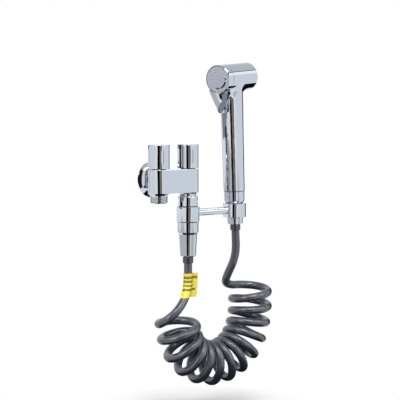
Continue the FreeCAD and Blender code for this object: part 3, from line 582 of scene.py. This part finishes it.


# The spring's rear end stays in its chamber while the plunger pushes the front end back; here the spring only
# gets a mesh of its own
def shorten_spring(piece):
    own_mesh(piece)


# A mirror shows every facet, so a shiny piece is shown as a merged, smoothly shaded copy of its node
def smooth_copy(node, slot):
    mesh = frame["nodes"][node].data.copy()
    piece = bpy.data.objects.new(node + "_surface", mesh)
    bpy.context.scene.collection.objects.link(piece)
    only(piece)
    bpy.ops.mesh.customdata_custom_splitnormals_clear()
    bpy.ops.object.mode_set(mode="EDIT")
    bpy.ops.mesh.select_all(action="SELECT")
    bpy.ops.mesh.remove_doubles(threshold=merge_distance * MM)
    bpy.ops.object.mode_set(mode="OBJECT")
    bpy.ops.object.shade_smooth_by_angle(angle=math.radians(edge_angle))
    weighted = piece.modifiers.new("flat_faces", "WEIGHTED_NORMAL")
    weighted.keep_sharp = True
    bpy.ops.object.modifier_apply(modifier="flat_faces")
    dress(piece, finishes[slot])
    if node == "handle_collar":
        darken_groove(piece)
    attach(piece, body_of(node))
    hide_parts(node)
    if node == "plunger_spring":
        shorten_spring(piece)


shiny_slots = ("polished_chrome", "chromed_plastic", "stainless_steel", "grey_disc_plastic")

for subpart in frame["record"]["subparts"]:
    node = subpart["node"]
    slot = subpart["material_slot"]
    if node in cord_nodes:
        continue
    if slot in shiny_slots:
        smooth_copy(node, slot)
    else:
        # The headworks' necks take the near-black brass that paints the shade under the knobs
        dress(frame["nodes"][node], neck_shade_finish if node.endswith("_headwork") else finishes[slot])

for piece in (outlet_thread, inlet_thread):
    dress(piece, thread_finish)
    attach(piece, "fixed")

dress(hose_piece, finishes["hose_sheath"])
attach(hose_piece, "fixed")
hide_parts("hose_valve_end", "hose_coil", "hose_handset_end")
dress(tag_piece, finishes["yellow_tag"])
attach(tag_piece, "fixed")
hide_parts("hose_tag")


# Studio
# A plain pale floor, white far away, that keeps the object's shadow near it. Its places are in metres.
floor_height = -0.30
floor_middle = (0.05, 0.0, floor_height)
shadow_middle = (0.05, -0.04, floor_height)
fade_start = 0.04
fade_end = 0.16
ambient_strength = 0.42


# 1 for the camera's rays and for those that a mirror or glass sends on, which see the white background
def sees_background(tree):
    path = add(tree, "ShaderNodeLightPath").outputs
    seen = path["Is Camera Ray"]
    for ray in ("Is Glossy Ray", "Is Transmission Ray"):
        seen = add(tree, "ShaderNodeMath", {0: seen, 1: path[ray]}, operation="MAXIMUM").outputs[0]
    return seen


def floor():
    bpy.ops.object.select_all(action="DESELECT")
    bpy.ops.mesh.primitive_plane_add(size=6.0, location=floor_middle)
    piece = bpy.context.object
    piece.name = "studio_floor"
    settle(piece)
    made = bpy.data.materials.new("painted_studio_floor")
    made.use_nodes = True
    tree = made.node_tree
    tree.nodes.clear()
    place = add(tree, "ShaderNodeTexCoord").outputs["Object"]
    away = add(tree, "ShaderNodeVectorMath", {0: place, 1: shadow_middle}, operation="DISTANCE")
    fade = add(tree, "ShaderNodeMapRange", {"Value": away.outputs["Value"], "From Min": fade_start,
                                            "From Max": fade_end})
    share = add(tree, "ShaderNodeMath", {0: fade.outputs["Result"], 1: sees_background(tree)},
                operation="MULTIPLY")
    paint = add(tree, "ShaderNodeBsdfDiffuse", {"Color": linear("F4F4F4")})
    white = add(tree, "ShaderNodeEmission", {"Color": (1, 1, 1, 1), "Strength": 1.0})
    mixed = add(tree, "ShaderNodeMixShader", {0: share.outputs[0], 1: paint.outputs[0], 2: white.outputs[0]})
    add(tree, "ShaderNodeOutputMaterial", {"Surface": mixed.outputs[0]})
    dress(piece, made)
    piece.visible_glossy = False
    piece.visible_diffuse = False


def surroundings():
    world = bpy.data.worlds.new("studio")
    bpy.context.scene.world = world
    world.use_nodes = True
    tree = world.node_tree
    tree.nodes.clear()
    ambient = add(tree, "ShaderNodeBackground", {"Color": linear("F2F5FA"), "Strength": ambient_strength})
    white = add(tree, "ShaderNodeBackground", {"Color": (1, 1, 1, 1), "Strength": 1.0})
    mixed = add(tree, "ShaderNodeMixShader", {0: sees_background(tree), 1: ambient.outputs[0],
                                              2: white.outputs[0]})
    add(tree, "ShaderNodeOutputWorld", {"Surface": mixed.outputs[0]})


card_distance = 2000.0


# A point of the floor's plan, in millimetres, to the right of the origin and away from the camera
def plan(right, away):
    turn = math.radians(camera_turn[2])
    return Vector((math.cos(turn), math.sin(turn))) * right + Vector((-math.sin(turn), math.cos(turn))) * away


# The ends of a card that faces the object from two metres off and fills these bearings.
# Bearing 0 is the camera's side, and positive bearings are to its right.
def far_off(start, end):
    reach = card_distance / math.cos(math.radians(end - start) / 2)
    ways = (math.radians(start), math.radians(end))
    return [plan(math.sin(way) * reach, -math.cos(way) * reach) for way in ways]


# A card stands upright between two points of the plan and shows only in reflections
def card(name, start, end, shade, low=-1000.0, high=1100.0, strength=1.0):
    run = end - start
    middle = (start + end) / 2
    bpy.ops.object.select_all(action="DESELECT")
    bpy.ops.mesh.primitive_plane_add(size=1.0, rotation=(math.radians(90), 0, math.atan2(run.y, run.x)))
    piece = bpy.context.object
    piece.name = name
    piece.scale = (run.length * MM, (high - low) * MM, 1.0)
    piece.location = metres((middle.x, middle.y, (low + high) / 2))
    glow_only(piece, shade, strength)


# A card that lies level over or under the object
def level_card(name, middle, size, height, shade):
    bpy.ops.object.select_all(action="DESELECT")
    bpy.ops.mesh.primitive_plane_add(size=size * MM, location=metres((*middle, height)))
    piece = bpy.context.object
    piece.name = name
    glow_only(piece, shade, 1.0)


# A card glows in its own shade, and the camera and the lamps' light pass it by
def glow_only(piece, shade, strength):
    settle(piece)
    made = bpy.data.materials.new(piece.name + "_cloth")
    made.use_nodes = True
    tree = made.node_tree
    tree.nodes.clear()
    glow = add(tree, "ShaderNodeEmission", {"Color": linear(shade), "Strength": strength})
    add(tree, "ShaderNodeOutputMaterial", {"Surface": glow.outputs[0]})
    dress(piece, made)
    piece.visible_camera = False
    piece.visible_diffuse = False
    piece.visible_shadow = False


lamp_target = Vector((0.05, -0.05, 0.0))


# A softbox that faces the object. Its place and size are in metres, and its power is in watts.
def lamp(name, place, size, power):
    data = bpy.data.lights.new(name, "AREA")
    data.shape = "RECTANGLE"
    data.size = size[0]
    data.size_y = size[1]
    data.energy = power
    piece = bpy.data.objects.new(name, data)
    piece.location = place
    piece.rotation_euler = (lamp_target - Vector(place)).to_track_quat("-Z", "Y").to_euler()
    bpy.context.scene.collection.objects.link(piece)


floor()
surroundings()
# A pale ceiling, and a near-black card under the coil, seen only in reflections, that paints shade on the
# coil's undersides
level_card("ceiling_card", (0, 0), 4600, 1450, "D2D8DA")
level_card("shade_card_under_hose", (60, -90), 320, -292, "050507")
# Strips on the camera's side, which stand as dark lines in every upright cylinder of chrome
card("black_strip", plan(-56, -350), plan(70, -350), "08090B", -300, 320)
card("brown_strip", plan(70, -350), plan(182, -350), "8A8078", -300, 320)
card("thin_black_strip", plan(182, -350), plan(208, -350), "08090B", -300, 320)
# Grey flags beside the set, for the dull left half of the handle
card("handle_left_flag", plan(-75, -110), plan(-75, 150), "94969A", 36, 160)
card("handle_rear_flag", plan(62, 80), plan(62, 200), "8E9094", -60, 124)
# A dark flag and a small pale card left of the valve, for the wall flange and the knobs
card("flange_flag", Vector((-50, -34)), Vector((-50, 40)), "1B1C1F", -40, 50)
card("knob_bounce", Vector((-42, -52)), Vector((-42, -20)), "F4F6F8", -30, 60)
# Far cards on the right, and a bright window over a dark gap for the top of the head
card("right_rear_card", *far_off(127, 156), "0C0D0F")
card("right_pale_card", *far_off(40, 127), "F1F5FA")
card("top_gap_card", *far_off(60, 178), "202225", 1140, 1240)
card("top_window_card", *far_off(60, 178), "FFFFFF", 700, 1130, 1.25)
# Low cards stand for a pale grey floor in the chrome's undersides, since mirrors don't show the floor
for start in (-140, -60, 40):
    card("low_card_%d" % (start + 140), *far_off(start, start + 80), "CFCFD1", -1000, -260)
lamp("left_softbox", (-1.5, -0.2, 1.0), (0.9, 1.2), 10.0)
lamp("right_softbox", (0.9, -1.5, 0.9), (0.9, 1.2), 6.0)
lamp("top_softbox", (-0.45, -0.9, 1.35), (0.8, 0.8), 22.0)

bpy.context.scene.view_settings.view_transform = "Standard"
